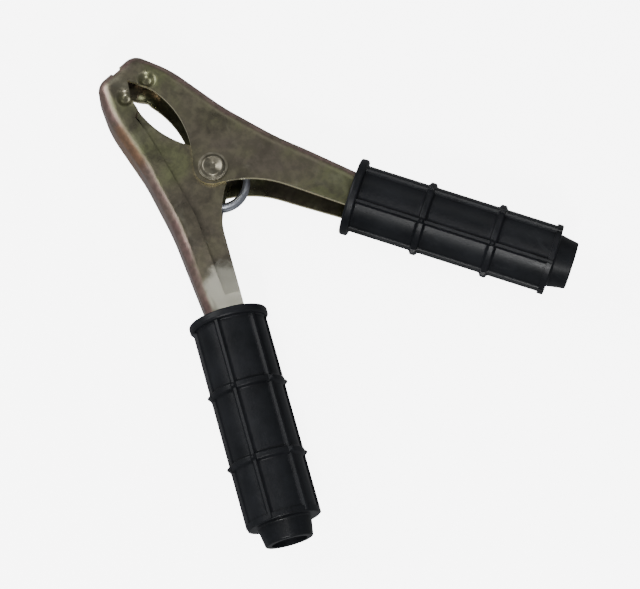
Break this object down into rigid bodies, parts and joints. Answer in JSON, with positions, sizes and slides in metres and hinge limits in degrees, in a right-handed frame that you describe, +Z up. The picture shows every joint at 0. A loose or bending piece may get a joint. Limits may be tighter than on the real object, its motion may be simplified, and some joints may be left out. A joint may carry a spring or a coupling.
{
  "type": "crocodile clip",
  "caption": "Large sprung crocodile clip: two folded steel jaw arms on one rivet, a torsion spring between them and a ribbed moulded grip with an open cable nozzle on each handle.",
  "frame": {"origin": "centre of the clip's outline seen from above, on the surface that the grips' collars lie on", "axes": "+X along the clip from the jaw tips to the handles, +Y across it towards the arm whose cheeks lie outside at the rivet, +Z up along the rivet"},
  "size_m": [0.1618, 0.1498, 0.0269],
  "materials": {
    "plated_steel": "yellow passivated zinc plating, satin, with olive, green and pink tints",
    "rivet_steel": "zinc plated, satin",
    "spring_wire": "drawn spring wire, light grey",
    "grip_plastic": "black moulded flexible plastic, semi-gloss"
  },
  "bodies": {
    "outer_half": {"outer_jaw_arm": "plated_steel", "pivot_rivet": "rivet_steel", "torsion_spring": "spring_wire", "outer_arm_grip": "grip_plastic"},
    "inner_half": {"inner_jaw_arm": "plated_steel", "inner_arm_grip": "grip_plastic"}
  },
  "joints": [
    {"name": "jaw_pivot", "type": "hinge", "parent": "outer_half", "child": "inner_half", "pos_m": [-0.03181, 0.00076, 0.01345], "axis": [0, 0, 1], "range_deg": [0, 42], "stiffness_Nm_per_rad": 3, "springref_deg": -34.38, "deforming": ["torsion_spring"]}
  ]
}
